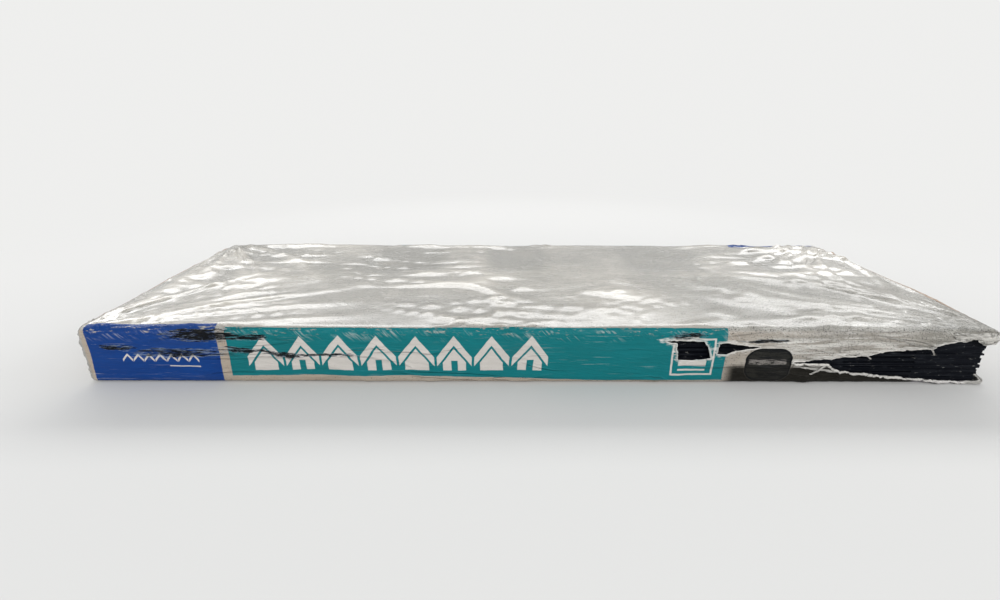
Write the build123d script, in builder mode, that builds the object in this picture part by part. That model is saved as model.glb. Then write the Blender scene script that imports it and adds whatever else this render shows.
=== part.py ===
"""Wrapped bundle of laminated asphalt roofing shingles.

The bundle lies flat with its length along X and its front long side facing -Y. Its origin is the
centre of its footprint, on the surface that it lies on, with Z up. Sizes are millimetres.

Two kinds of piece make it up. The shingles lie in nested pairs, back to back: the lower one of a
pair is face down with its thick half at the front, and the upper one is face up with its thick
half at the back, so a pair is three plies high all over. A printed plastic film is wrapped round
the whole stack and folded in at the ends like a parcel. It is torn open at the front right corner
and rubbed through in two places.
"""

import os
from math import cos, radians, sin

from build123d import *

# One shingle: a full ply with tabs cut into its lower edge, and a backing strip laminated under them
shingle_length = 984.0
shingle_width = 337.0
ply_thickness = 1.85
backing_width = 165.0
tab_depth = 140.0
tab_taper = 5.0
tab_gap_widths = (64.0, 98.0, 76.0, 106.0, 70.0)
tab_gap_shift = 14.0

# The stack of shingles
pair_count = 11
shingle_gap = 0.15
stack_wander_x = 1.2
stack_wander_y = 0.7
wander_phase_x = 2.4
wander_phase_y = 3.7

# The film round the stack, drawn thicker than the real film so that it is a solid
film_thickness = 0.6
film_clearance = 0.3
side_looseness = 2.4
end_looseness = 2.6
film_edge_radius = 3.6

# The folded ends: side film tucked in first, then the lower flap up and the upper flap down over it
lower_flap = 40.0
upper_flap = 34.0
flap_slant = 0.9

# The tear at the front right corner: how far it runs along the front, and round onto the end
tear_length = 224.0
tear_round_end = 66.0

# Two smaller holes rubbed through the front: centre from the left end, centre height, width, height
large_hole = (670.0, 40.0, 40.0, 20.0)
small_hole = (718.0, 41.0, 44.0, 10.0)
hole_points = 9
hole_lobes = 3
hole_lobe_phase = 1.0
hole_unevenness = 0.2

# Sizes that follow from the ones above
pair_height = 3 * ply_thickness + 2 * shingle_gap
stack_height = pair_count * pair_height - shingle_gap
stack_base = film_thickness + film_clearance
wrapper_height = stack_height + 2 * stack_base
half_width = shingle_width / 2 + stack_wander_y + side_looseness + film_thickness
half_length = shingle_length / 2 + stack_wander_x + end_looseness + film_thickness
end_reach = half_length + 2 * film_thickness
cut_depth = film_edge_radius + film_thickness


def tab_gap_centres():
    """Gives the centre of each gap between tabs, spread along the shingle and pushed to and fro."""
    pitch = shingle_length / len(tab_gap_widths)
    for number in range(len(tab_gap_widths)):
        push = tab_gap_shift if number % 2 else -tab_gap_shift
        yield -shingle_length / 2 + (number + 0.5) * pitch + push


def make_shingle():
    """One laminated shingle, face up, with its back on the XY plane and its tabs towards +Y."""
    edge = shingle_width / 2
    with BuildPart() as shingle:
        with BuildSketch():
            with Locations((0, edge - backing_width / 2)):
                Rectangle(shingle_length, backing_width)
        extrude(amount=ply_thickness)
        with BuildSketch(Plane.XY.offset(ply_thickness)):
            Rectangle(shingle_length, shingle_width)
            for centre, width in zip(tab_gap_centres(), tab_gap_widths):
                with BuildLine():
                    Polyline(
                        (centre - width / 2 - tab_taper, edge),
                        (centre - width / 2, edge - tab_depth),
                        (centre + width / 2, edge - tab_depth),
                        (centre + width / 2 + tab_taper, edge),
                        close=True,
                    )
                make_face(mode=Mode.SUBTRACT)
        extrude(amount=ply_thickness)
    return shingle.part


def wander(order):
    """How far a shingle lies out of line with the stack, along X and Y."""
    return stack_wander_x * sin(wander_phase_x * order), stack_wander_y * cos(wander_phase_y * order)


def stack_places():
    """Gives each shingle's place from the floor up: a face-down one, then the face-up one on it."""
    for pair in range(pair_count):
        base = stack_base + pair * pair_height
        down, up = 2 * pair, 2 * pair + 1
        yield Location((*wander(down), base + 2 * ply_thickness), (180, 0, 0))
        yield Location((*wander(up), base + ply_thickness + shingle_gap))


def film_form(inset):
    """The closed form of the film sleeve with every face moved in by inset."""
    with BuildPart() as form:
        with BuildSketch(Plane.XY.offset(inset)):
            Rectangle(2 * (half_length - inset), 2 * (half_width - inset))
        extrude(amount=wrapper_height - 2 * inset)
        fillet(form.edges(), film_edge_radius - inset)
    return form.part


def end_flap(side, fold_height, free_height, layers):
    """A flap on the right (1) or left (-1) end, folded over at one height and free at the other.

    It narrows towards its free edge, and stands as many layers of film proud of the end.
    """
    root = film_thickness / 2
    run = abs(free_height - fold_height)
    fold_half = half_width - film_edge_radius
    free_half = fold_half - flap_slant * run
    with BuildPart() as flap:
        with BuildSketch(Plane.YZ.offset(side * (half_length - root))):
            with BuildLine():
                Polyline(
                    (-fold_half, fold_height),
                    (-free_half, free_height),
                    (free_half, free_height),
                    (fold_half, fold_height),
                    close=True,
                )
            make_face()
        extrude(amount=side * (layers * film_thickness + root))
    return flap.part


def front_tear():
    """The torn opening in the front, wide at the right end and running out to a tip."""
    outline = [
        (0.00, 0.36),
        (0.15, 0.24),
        (0.37, 0.18),
        (0.64, 0.13),
        (0.83, 0.06),
        (1.02, 0.06),
        (1.02, 0.92),
        (0.86, 0.89),
        (0.78, 0.77),
        (0.65, 0.67),
        (0.60, 0.56),
        (0.37, 0.49),
    ]
    tip_x = half_length - tear_length
    with BuildPart() as tear:
        with BuildSketch(Plane.XZ.offset(half_width)):
            with BuildLine():
                Polyline(
                    *[(tip_x + along * tear_length, up * wrapper_height) for along, up in outline],
                    close=True,
                )
            make_face()
        extrude(amount=-cut_depth)
    return tear.part


def end_tear():
    """The same tear where it carries on round the front corner of the right end."""
    outline = [
        (-0.02, 0.06),
        (0.30, 0.08),
        (0.62, 0.20),
        (1.00, 0.42),
        (0.80, 0.60),
        (0.55, 0.74),
        (0.28, 0.90),
        (-0.02, 0.92),
    ]
    with BuildPart() as tear:
        with BuildSketch(Plane.YZ.offset(end_reach)):
            with BuildLine():
                Polyline(
                    *[(along * tear_round_end - half_width, up * wrapper_height) for along, up in outline],
                    close=True,
                )
            make_face()
        extrude(amount=half_length - end_reach - cut_depth)
    return tear.part


def rubbed_hole(from_left, height, hole_width, hole_height):
    """A ragged hole through the front, with a rim that weaves in and out of an oval."""
    with BuildPart() as hole:
        with BuildSketch(Plane.XZ.offset(half_width)):
            with BuildLine():
                rim = []
                for number in range(hole_points):
                    angle = radians(360 * number / hole_points)
                    reach = 1 - hole_unevenness * sin(hole_lobes * angle + hole_lobe_phase) ** 2
                    x = from_left - half_length + reach * cos(angle) * hole_width / 2
                    rim.append((x, height + reach * sin(angle) * hole_height / 2))
                Polyline(*rim, close=True)
            make_face()
        extrude(amount=-cut_depth)
    return hole.part


with BuildPart() as wrapper:
    add(film_form(0))
    add(film_form(film_thickness), mode=Mode.SUBTRACT)
    for side in (-1, 1):
        add(end_flap(side, film_edge_radius, lower_flap, 1))
        add(end_flap(side, wrapper_height - film_edge_radius, wrapper_height - upper_flap, 2))
    add(front_tear(), mode=Mode.SUBTRACT)
    add(end_tear(), mode=Mode.SUBTRACT)
    add(rubbed_hole(*large_hole), mode=Mode.SUBTRACT)
    add(rubbed_hole(*small_hole), mode=Mode.SUBTRACT)

shingle = make_shingle()
shingles = Compound(label="shingles", children=[shingle.moved(place) for place in stack_places()])
wrapper.part.label = "wrapper"

os.makedirs("parts", exist_ok=True)
export_step(shingles, "parts/shingles.step")
export_step(wrapper.part, "parts/wrapper.step")
print("stack", stack_height, "wrapper", 2 * end_reach, 2 * half_width, wrapper_height)
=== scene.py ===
# %% [markdown]
# A bundle of laminated asphalt roofing shingles in its printed plastic film, as a roofer buys it.
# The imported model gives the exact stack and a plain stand-in for the film. This lesson keeps the
# stack, gives it an asphalt finish, and models the film anew: a thin sheet that is wrapped round the
# stack like a parcel, creased, printed, scuffed, and torn open at the front right corner.

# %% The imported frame
import math

import bpy
import numpy as np
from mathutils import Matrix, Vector, noise
from mathutils.bvhtree import BVHTree


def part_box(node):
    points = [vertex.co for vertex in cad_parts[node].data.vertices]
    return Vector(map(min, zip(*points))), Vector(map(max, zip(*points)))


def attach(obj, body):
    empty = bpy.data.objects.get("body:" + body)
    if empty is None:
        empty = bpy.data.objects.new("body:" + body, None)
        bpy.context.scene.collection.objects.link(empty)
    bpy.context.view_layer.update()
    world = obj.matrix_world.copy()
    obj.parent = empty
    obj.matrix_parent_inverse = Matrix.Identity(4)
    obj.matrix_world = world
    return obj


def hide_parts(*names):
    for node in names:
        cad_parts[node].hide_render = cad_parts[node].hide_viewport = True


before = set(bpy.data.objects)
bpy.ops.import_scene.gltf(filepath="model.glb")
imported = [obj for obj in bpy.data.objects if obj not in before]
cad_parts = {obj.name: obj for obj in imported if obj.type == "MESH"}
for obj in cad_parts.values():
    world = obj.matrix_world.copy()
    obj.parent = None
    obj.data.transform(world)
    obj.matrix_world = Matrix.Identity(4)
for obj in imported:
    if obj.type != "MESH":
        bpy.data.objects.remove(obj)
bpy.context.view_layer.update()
wrap_low, wrap_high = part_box("wrapper")
stack_low, stack_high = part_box("shingles")
mm = 0.001
print("wrapper", wrap_low, wrap_high, "stack", stack_low, stack_high)

# %% [markdown]
# Modelling operators act on whatever is selected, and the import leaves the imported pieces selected.
# So each step starts by selecting one piece alone. Faces and edges are then picked in code, by where
# they are, and each modifier is applied as soon as it has its values.

# %% Helpers for modelling


def only(piece):
    """Makes one object the selected and active one."""
    for other in bpy.context.selected_objects:
        other.select_set(False)
    piece.select_set(True)
    bpy.context.view_layer.objects.active = piece


def edit(piece, kind):
    """Goes into edit mode with nothing selected, picking vertices, edges or faces."""
    only(piece)
    bpy.ops.object.mode_set(mode="EDIT")
    bpy.ops.mesh.select_mode(type=kind)
    bpy.ops.mesh.select_all(action="DESELECT")


def pick(piece, kind, wanted):
    """Selects the parts for which wanted is true, given their place and, for edges, their run."""
    edit(piece, kind)
    bpy.ops.object.mode_set(mode="OBJECT")
    mesh = piece.data
    if kind == "FACE":
        for face in mesh.polygons:
            face.select = wanted(face.center)
    else:
        points = mesh.vertices
        for edge in mesh.edges:
            start, end = (points[number].co for number in edge.vertices)
            edge.select = wanted((start + end) / 2, end - start)
    bpy.ops.object.mode_set(mode="EDIT")


def done():
    """Leaves edit mode."""
    bpy.ops.object.mode_set(mode="OBJECT")


def finish_with(piece, kind, **values):
    """Adds one modifier, sets its values and applies it."""
    only(piece)
    bpy.ops.object.modifier_add(type=kind)
    modifier = piece.modifiers[-1]
    for name, value in values.items():
        setattr(modifier, name, value)
    bpy.ops.object.modifier_apply(modifier=modifier.name)


def places(piece):
    """The vertices' places as an array of x, y, z."""
    flat = np.empty(len(piece.data.vertices) * 3, np.float32)
    piece.data.vertices.foreach_get("co", flat)
    return flat.reshape(-1, 3).astype(float)


def put(piece, points):
    """Moves the vertices to new places."""
    piece.data.vertices.foreach_set("co", points.astype(np.float32).ravel())
    piece.data.update()


# %% [markdown]
# The film comes off a roll as a flat sheet, is sealed into a sleeve round the stack, and its mouth is
# folded in at each end: the sides are tucked in first, then the bottom comes up and the top comes
# down over it. The mesh is made in that order too. A cube is opened at both ends, its long edges
# are rounded, and it is cut into a fine grid that is coarser underneath, where nothing shows.

# %% The sleeve
film_layer = 0.6 * mm
half_length = wrap_high.x - 2 * film_layer
half_width = wrap_high.y
height = wrap_high.z
long_edge_radius = 6 * mm
end_edge_radius = 5 * mm
coarse_columns = 20
columns_in_each = 13
side_rows = 22
top_rows = 56
bottom_rows = 14

bpy.ops.mesh.primitive_cube_add(
    size=1,
    location=(0, 0, height / 2),
    scale=(2 * (half_length - end_edge_radius), 2 * half_width, height),
)
film = bpy.context.object
film.name = "printed_film"
only(film)
bpy.ops.object.transform_apply(location=True, rotation=True, scale=True)
pick(film, "FACE", lambda at: abs(at.x) > 0.9 * (half_length - end_edge_radius))
bpy.ops.mesh.delete(type="ONLY_FACE")
pick(film, "EDGE", lambda at, run: abs(run.x) > half_length)
bpy.ops.mesh.bevel(offset=long_edge_radius, segments=3, affect="EDGES")


def cut(piece, wanted, rows):
    """Cuts the strips between the picked edges into so many rows."""
    pick(piece, "EDGE", wanted)
    bpy.ops.mesh.subdivide(number_cuts=rows - 1)


cut(film, lambda at, run: abs(run.z) > height / 2, side_rows)
cut(film, lambda at, run: abs(run.y) > half_width and at.z > height / 2, top_rows)
cut(film, lambda at, run: abs(run.y) > half_width and at.z < height / 2, bottom_rows)
cut(film, lambda at, run: abs(run.x) > half_length, coarse_columns)
cut(film, lambda at, run: abs(run.x) > half_length / coarse_columns, columns_in_each)
done()
print("sleeve", len(film.data.polygons), "faces")

# %% [markdown]
# At each end the sleeve first turns in all round, which rounds the end edges. From there the tucks
# and flaps are extruded, each a little nearer to or further from the shingles than the next, so the
# layers lie on each other without touching.

# %% The folded ends
tuck_reach = 62 * mm
lower_reach = 40 * mm
upper_reach = 34 * mm
lower_slant = 1.0
upper_slant = 0.45
turn_steps = 3
flap_step = 3 * mm


def push(value):
    """Extrudes the selected edges and moves the new ones."""
    bpy.ops.mesh.extrude_edges_move(TRANSFORM_OT_translate={"value": value})


def squeeze(value, centre):
    """Scales the selection about a point."""
    bpy.ops.transform.resize(value=value, center_override=centre)


def at_mouth(side, rim_x):
    """The test for edges of the sleeve's open rim at one end."""
    return lambda at, run: side * at.x > rim_x - 1e-6 and abs(run.x) < 1e-6


parts = {"tuck": [], "lower flap": [], "upper flap": []}


def note(part, first):
    """Keeps the numbers of the vertices that a part of the film has gained."""
    done()
    parts[part] += range(first, len(film.data.vertices))


for side in (-1, 1):
    pick(film, "EDGE", at_mouth(side, half_length - end_edge_radius))
    drawn_in = 0.0
    for step in range(turn_steps):
        start = math.radians(90 * step / turn_steps)
        end = math.radians(90 * (step + 1) / turn_steps)
        out = end_edge_radius * (math.sin(end) - math.sin(start))
        inward = end_edge_radius * (math.cos(start) - math.cos(end))
        push((side * out, 0, 0))
        wide, tall = half_width - drawn_in, height / 2 - drawn_in
        squeeze((1, (wide - inward) / wide, (tall - inward) / tall), (0, 0, height / 2))
        drawn_in += inward
    done()
    mouth = at_mouth(side, half_length - 1e-5)
    wide, tall = half_width - drawn_in, height / 2 - drawn_in
    flat_half = wide - long_edge_radius * 0.9
    for edge_side in (-1, 1):
        first = len(film.data.vertices)
        pick(film, "EDGE", lambda at, run: mouth(at, run) and edge_side * at.y > flat_half)
        steps = round(tuck_reach / flap_step)
        for step in range(steps):
            sink = -side * (2.2 * film_layer if step == 0 else 0)
            push((sink, -edge_side * flap_step, 0))
        note("tuck", first)
    for upward, reach, layer, slant in (
        (1, lower_reach, 1, lower_slant),
        (-1, upper_reach, 0, upper_slant),
    ):
        rim_z = height / 2 - upward * tall
        first = len(film.data.vertices)
        pick(
            film,
            "EDGE",
            lambda at, run: mouth(at, run)
            and abs(at.z - rim_z) < 1e-5
            and abs(at.y) < flat_half + 1e-4
            and abs(run.z) < 1e-6,
        )
        reach_left = reach - end_edge_radius
        steps = round(reach_left / flap_step)
        now_half = flat_half
        for step in range(steps):
            sink = -side * (1.1 * layer * film_layer if step == 0 else 0)
            push((sink, 0, upward * reach_left / steps))
            new_half = now_half - slant * reach_left / steps
            squeeze((1, new_half / now_half, 1), (0, 0, height / 2))
            now_half = new_half
        note("upper flap" if layer == 0 else "lower flap", first)
layer_of = np.zeros(len(film.data.vertices))
for number, part in enumerate(parts):
    layer_of[parts[part]] = number + 1
layers = film.data.attributes.new("layers", "FLOAT", "POINT")
layers.data.foreach_set("value", layer_of.astype(np.float32))
last_ring = half_length - end_edge_radius - 1e-5
pick(film, "EDGE", lambda at, run: abs(at.x) > last_ring and abs(run.y) > 4 * mm)
bpy.ops.mesh.subdivide(number_cuts=1)
done()
print("with folded ends", len(film.data.polygons), "faces", np.unique(layer_of, return_counts=True))

# %% [markdown]
# Film over a stack is never flat. It sags where the tabs of the top shingle leave a gap, swells a
# little where air is caught, and is drawn into long creases where it is pulled, above all from the
# corners. Film is so stiff along the sheet that a crease is long and narrow, so each one here is a
# line of smooth noise that is stretched along the pull. Carving them by hand with a brush would look
# alike, but couldn't be run again at another size.

# %% Noise for swellings and creases
creases_seed = 3.7


def line_of(along, across, length, width, seed, breadth=0.22):
    """How near a place is to the crest of a crease, from 0 to 1. Creases run along the first value."""
    value = noise.noise(Vector((along / length, across / width, seed + creases_seed)))
    return max(0.0, 1 - abs(value) / breadth) ** 1.4


def swell(x, y, size, seed):
    """A smooth unevenness between -1 and 1."""
    return noise.noise(Vector((x / size, y / size, seed + creases_seed)))


def ease(value, low, high):
    """Goes smoothly from 0 at low to 1 at high."""
    share = min(1.0, max(0.0, (value - low) / (high - low)))
    return share * share * (3 - 2 * share)


def crumple(x, y, size, seed):
    """The sharp, bent ridges of film that heat or a hand has crumpled."""
    bend = 0.5 * size
    x, y = x + bend * swell(x, y, 1.3 * size, seed + 5), y + bend * swell(x, y, 1.3 * size, seed + 9)
    first = 1 - abs(swell(x, y, size, seed)) * 2.4
    second = 1 - abs(swell(x, y, 0.45 * size, seed + 2)) * 2.4
    return max(0.0, first) ** 2 + 0.4 * max(0.0, second) ** 2


swellings = [swell(x, 0, 0.1, 1) for x in np.arange(-half_length, half_length, 0.01)]
print("swellings along a line between", round(min(swellings), 2), "and", round(max(swellings), 2))

# %% [markdown]
# The top shingle has gaps between its tabs, and film sags into them. The stack knows where they are,
# so a ray is sent down on it from a grid of places. The depths are then softened, because film spans
# a narrow gap and doesn't drop down its walls.

# %% Hollows under the film
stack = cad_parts["shingles"]
stack_tree = BVHTree.FromObject(stack, bpy.context.evaluated_depsgraph_get())


def hollow_under(x, y):
    """How far the stack's top lies below its highest point, where the tabs leave gaps."""
    hit = stack_tree.ray_cast(Vector((x, y, 1)), Vector((0, 0, -1)))[0]
    return stack_high.z - hit.z if hit is not None and hit.z > 0.9 * stack_high.z else 0.0


probe = 6 * mm
softening_turns = 3
probe_x = np.arange(-half_length, half_length + probe, probe)
probe_y = np.arange(-half_width, half_width + probe, probe)
hollows = np.array([[hollow_under(x, y) for y in probe_y] for x in probe_x])
for turn in range(softening_turns):
    for axis in (0, 1):
        hollows = (np.roll(hollows, 1, axis) + 2 * hollows + np.roll(hollows, -1, axis)) / 4
print("hollows under the top", round(hollows.max() / mm, 2), "mm deep at most")


def sag(x, y):
    """The depth of the softened hollows under a place on the top."""
    across = (x - probe_x[0]) / probe
    along = (y - probe_y[0]) / probe
    i, j = min(int(across), len(probe_x) - 2), min(int(along), len(probe_y) - 2)
    s, t = across - i, along - j
    near = hollows[i, j] * (1 - s) + hollows[i + 1, j] * s
    far = hollows[i, j + 1] * (1 - s) + hollows[i + 1, j + 1] * s
    return near * (1 - t) + far * t


# %% [markdown]
# Each face has its own kind of creases. On the top they fan out from the corners, where the ends are
# folded in. On the long sides they run with the film and slant where it was dragged. On the ends
# the film was shrunk and pinched, so it is crumpled. Every form is a sum of the same few noises, and
# soft masks keep some areas smooth, as they are on real film.

# %% The form of each face


def top_form(x, y):
    """Height of the creases on the top face."""
    lift = 1.3 * swell(x, y, 0.15, 1) + 0.6 * swell(x, y, 0.06, 12) + 0.9
    patches = ease(swell(x, y, 0.16, 2), -0.25, 0.35)
    bent = y + 0.15 * x + 0.012 * swell(x, y, 0.09, 3)
    lift += 2.4 * patches * line_of(x, bent, 0.2, 0.026, 4, 0.16)
    lift += 1.8 * line_of(x, y - 0.35 * x, 0.16, 0.026, 5, 0.12) * ease(swell(x, y, 0.12, 6), 0, 0.4)
    for corner_x in (-half_length, half_length):
        for corner_y in (-half_width, half_width):
            away_x, away_y = abs(x - corner_x), abs(y - corner_y)
            reach = math.hypot(away_x, away_y)
            if reach < 0.36:
                turn = math.atan2(away_y, away_x)
                seed = 11 * (corner_x > 0) + 17 * (corner_y > 0)
                ray = line_of(reach, turn, 0.26, 0.20, seed, 0.24)
                lift += 3.2 * ray * ease(reach, 0.36, 0.08) * ease(reach, 0.0, 0.05)
    lift += 0.7 * crumple(x, y, 0.03, 7) * ease(swell(x, y, 0.09, 8), 0.05, 0.4)
    return lift * mm - 0.85 * sag(x, y)


def side_form(x, z, front):
    """Height of the creases on a long side. The front right part was dragged and is creased more."""
    seed = 20 if front else 40
    right = ease(x, 0.15, 0.3) if front else 0.3
    lift = 0.9 * swell(x, 2 * z, 0.11, seed) + 0.4 * swell(x, z, 0.035, seed + 7) + 0.5
    long_fold = line_of(x, z - 0.06 * x, 0.13, 0.016, seed + 1, 0.16)
    lift += (0.9 + 0.8 * right) * long_fold * ease(swell(x, z, 0.12, seed + 2), -0.3, 0.3)
    turned_x, turned_z = 0.5 * x - 0.86 * z, 0.86 * x + 0.5 * z
    lift += 1.0 * line_of(turned_x, turned_z, 0.04, 0.014, seed + 3) * ease(z, 0.042, 0.06)
    lift += 0.7 * line_of(turned_x, turned_z, 0.06, 0.015, seed + 4) * ease(z, 0.02, 0.006)
    return lift * mm


def end_form(y, z, right_end):
    """Height of the crumpled film on a folded end."""
    seed = 60 if right_end else 80
    lift = 1.2 * swell(y, 1.5 * z, 0.07, seed) + 0.8
    band = ease(abs(z - 0.036 - 0.012 * swell(y, 0, 0.1, seed + 1)), 0.024, 0.004)
    patch = ease(swell(y, z, 0.07, seed + 2), -0.1, 0.3)
    lift += (0.4 + 1.6 * band * patch) * crumple(y, 1.4 * z, 0.018, seed + 3)
    long_fold = line_of(y + 0.4 * z, z - 0.12 * y, 0.12, 0.015, seed + 4, 0.16)
    lift += 1.6 * long_fold * ease(swell(y, z, 0.08, seed + 5), -0.2, 0.3)
    away = half_width - abs(y)
    lift += 1.6 * line_of(away, math.atan2(height - z, away), 0.1, 0.2, seed + 6) * ease(away, 0.12, 0.01)
    return lift * mm


print("top at the middle lifts by", round(top_form(0, 0) / mm, 2), "mm")

# %% [markdown]
# Outwards isn't one direction: on a rounded edge it turns from the side to the top. A box that is
# smaller by the edge radius gives it, as the line from its nearest point to the vertex, and the
# squares of that line's parts say how much of each face's form counts. Each vertex moves out by the
# sum. A cloth simulation could make creases too, but it needs far finer cloth than a side of this
# length allows. How far each vertex was lifted is kept, since the finish needs it.

# %% Sculpting the creases
core_low = Vector((-half_length, -half_width, 0)) + Vector((1, 1, 1)) * end_edge_radius
core_high = Vector((half_length, half_width, height)) - Vector((1, 1, 1)) * end_edge_radius
free_edge_lift = 2.6 * mm
free_edge_wave = 5 * mm
floor_gap = 0.2 * mm
points = places(film)
layer_now = np.empty(len(points), np.float32)
film.data.attributes["layers"].data.foreach_get("value", layer_now)
rise = np.zeros(len(points))
for number, (x, y, z) in enumerate(points):
    out = Vector(
        (
            x - min(max(x, core_low.x), core_high.x),
            y - min(max(y, core_low.y), core_high.y),
            z - min(max(z, core_low.z), core_high.z),
        )
    ).normalized()
    weights = (out.x * out.x, out.y * out.y, out.z * out.z)
    lift = 0.0
    if weights[0] > 0.001:
        lift += weights[0] * end_form(y, z, x > 0)
    if weights[1] > 0.001:
        lift += weights[1] * side_form(x, z, y < 0)
    if weights[2] > 0.001:
        under = z < height / 2
        lift += weights[2] * (0.0 if under else top_form(x, y))
    if layer_now[number] > 2.5:
        free = ease(z, height - 0.5 * upper_reach, height - upper_reach)
        lift += free * (0.6 + swell(y, 0, 0.05, 31)) * free_edge_lift
        points[number][2] += free * free_edge_wave * (swell(y, x, 0.09, 33) + 0.4 * swell(y, x, 0.02, 34))
    rise[number] = lift
    points[number] += np.array(out) * lift
points[:, 2] = np.maximum(points[:, 2], floor_gap)
put(film, points)
lifted = film.data.attributes.new("lift", "FLOAT", "POINT")
lifted.data.foreach_set("value", (rise / mm).astype(np.float32))
print("creases up to", round(rise.max() / mm, 2), "mm, down to", round(rise.min() / mm, 2), "mm")

# %% [markdown]
# The corner was dragged against something and tore, and two spots were rubbed through. An opening is
# drawn as an outline on the unrolled film: the first value runs along the front and then on round
# the corner, and the second is the height. A few corners are enough to type, and noise then makes the
# line between them ragged.

# %% Outlines of the openings
tear_length = 224 * mm
tear_round_end = 66 * mm
tear_tip = half_length - tear_length
tear_on_front_low = [(0.02, 0.41), (0.12, 0.385), (0.21, 0.375), (0.25, 0.30), (0.28, 0.235)]
tear_on_front_low += [(0.46, 0.18), (0.64, 0.11), (0.83, 0.06), (0.99, 0.06)]
tear_on_end = [(0.30, 0.08), (0.62, 0.20), (1.00, 0.42), (0.80, 0.60), (0.55, 0.74), (0.28, 0.90)]
tear_on_front_high = [(0.99, 0.92), (0.87, 0.90), (0.84, 0.88), (0.79, 0.79), (0.735, 0.745)]
tear_on_front_high += [(0.70, 0.67), (0.50, 0.635), (0.41, 0.55), (0.26, 0.50), (0.14, 0.46)]
tear_outline = [(tear_tip + along * tear_length, up * height) for along, up in tear_on_front_low]
tear_outline += [(half_length + along * tear_round_end, up * height) for along, up in tear_on_end]
tear_outline += [(tear_tip + along * tear_length, up * height) for along, up in tear_on_front_high]
# The holes' corners, in millimetres from the left end and from the floor
large_hole = [(630, 53), (649, 54), (676, 53), (681, 46), (687, 32), (668, 29.5), (650, 30), (647, 50)]
small_hole = [(692, 37), (693, 50), (700, 51), (720, 48), (738, 46), (729, 43), (712, 41), (703, 36.5)]
outline_step = 1.4 * mm
slow_wander = 9 * mm
quick_wander = 2.6 * mm


def ragged(outline, amount, seed):
    """The outline again in short steps, pushed to and fro at right angles to its run."""
    fine = []
    for number, start in enumerate(outline):
        start, end = Vector(start), Vector(outline[(number + 1) % len(outline)])
        run = end - start
        steps = max(1, round(run.length / outline_step))
        aside = Vector((-run.y, run.x)).normalized()
        for step in range(steps):
            at = start + run * (step / steps)
            slow = noise.noise(Vector((at.x / slow_wander, at.y / slow_wander, seed)))
            quick = noise.noise(Vector((at.x / quick_wander, at.y / quick_wander, seed + 4)))
            fine.append(at + aside * amount * (0.7 * slow + 0.6 * quick))
    return np.array(fine)


from_left = [[(x * mm - half_length, z * mm) for x, z in hole] for hole in (large_hole, small_hole)]
openings = [
    ragged(tear_outline, 1.8 * mm, 1.0),
    ragged(from_left[0], 1.3 * mm, 2.0),
    ragged(from_left[1], 1.3 * mm, 3.0),
]
print("outlines of", [len(outline) for outline in openings], "points")

# %% [markdown]
# To cut by an outline, each face or vertex has to be told where it is on the unrolled film, how far
# it is from the outline and on which side. Looping over forty thousand faces is slow in Python, so
# these tests work on all places at once, as arrays.

# %% Tests for places near an opening
behind_the_face = 8 * mm
off_the_edges = 1.2 * mm


def unrolled(points):
    """Places on the front and the right end as run round the corner and height."""
    return np.stack([points[:, 0] + points[:, 1] + half_width, points[:, 2]], axis=1)


def near_openings(points):
    """True for places on the front or on the right end, and not on the top, bottom, back or left."""
    front = points[:, 1] < -half_width + behind_the_face
    end = (points[:, 0] > half_length - behind_the_face) & (points[:, 1] < 0)
    level = (points[:, 2] > off_the_edges) & (points[:, 2] < height - off_the_edges)
    return (front | end) & level & (points[:, 0] > 0)


def nearest(flat, outline):
    """For each place the distance to the outline's nearest point, and that point's number."""
    away = np.linalg.norm(flat[:, None, :] - outline[None, :, :], axis=2)
    number = away.argmin(axis=1)
    return away[np.arange(len(flat)), number], number


def inside(flat, outline):
    """True for places inside a closed outline."""
    within = np.zeros(len(flat), bool)
    for start, end in zip(outline, np.roll(outline, -1, axis=0)):
        spans = (start[1] > flat[:, 1]) != (end[1] > flat[:, 1])
        share = (flat[:, 1] - start[1]) / np.where(end[1] == start[1], 1, end[1] - start[1])
        within ^= spans & (flat[:, 0] < start[0] + share * (end[0] - start[0]))
    return within


def face_centres(piece):
    """The middle of each face."""
    flat = np.empty(len(piece.data.polygons) * 3, np.float32)
    piece.data.polygons.foreach_get("center", flat)
    return flat.reshape(-1, 3).astype(float)


def choose_faces(piece, chosen):
    """Selects the faces for which chosen is true and goes into edit mode."""
    edit(piece, "FACE")
    bpy.ops.object.mode_set(mode="OBJECT")
    piece.data.polygons.foreach_set("select", chosen)
    bpy.ops.object.mode_set(mode="EDIT")


# %% [markdown]
# A Boolean with a ragged cutter would leave long thin faces all round the hole. Cutting the grid
# finer near the outline and deleting what is inside keeps even squares, which shade well and can be
# extruded.

# %% Cutting the openings
cut_band = 4.5 * mm
rim_band = 2.6 * mm
for outline in openings:
    centres = face_centres(film)
    around = near_openings(centres)
    around[around] = nearest(unrolled(centres[around]), outline)[0] < cut_band
    choose_faces(film, around)
    bpy.ops.mesh.subdivide(number_cuts=1)
    done()
    centres = face_centres(film)
    gone = near_openings(centres)
    gone[gone] = inside(unrolled(centres[gone]), outline)
    choose_faces(film, gone)
    bpy.ops.mesh.delete(type="FACE")
    done()
print("with openings", len(film.data.polygons), "faces")

# %% [markdown]
# The holes now have the steps of the grid. An edge with one face only is an edge of the sheet, so
# those near an opening are its rim, and each of their vertices slides to the nearest outline point.

# %% Moving the rims onto the outlines


def rim_edges(piece):
    """The numbers of the vertices at each edge that has one face only."""
    mesh = piece.data
    corners = np.empty(len(mesh.loops), np.int32)
    mesh.loops.foreach_get("edge_index", corners)
    ends = np.empty(len(mesh.edges) * 2, np.int32)
    mesh.edges.foreach_get("vertices", ends)
    return np.bincount(corners, minlength=len(mesh.edges)) == 1, ends.reshape(-1, 2)


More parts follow.
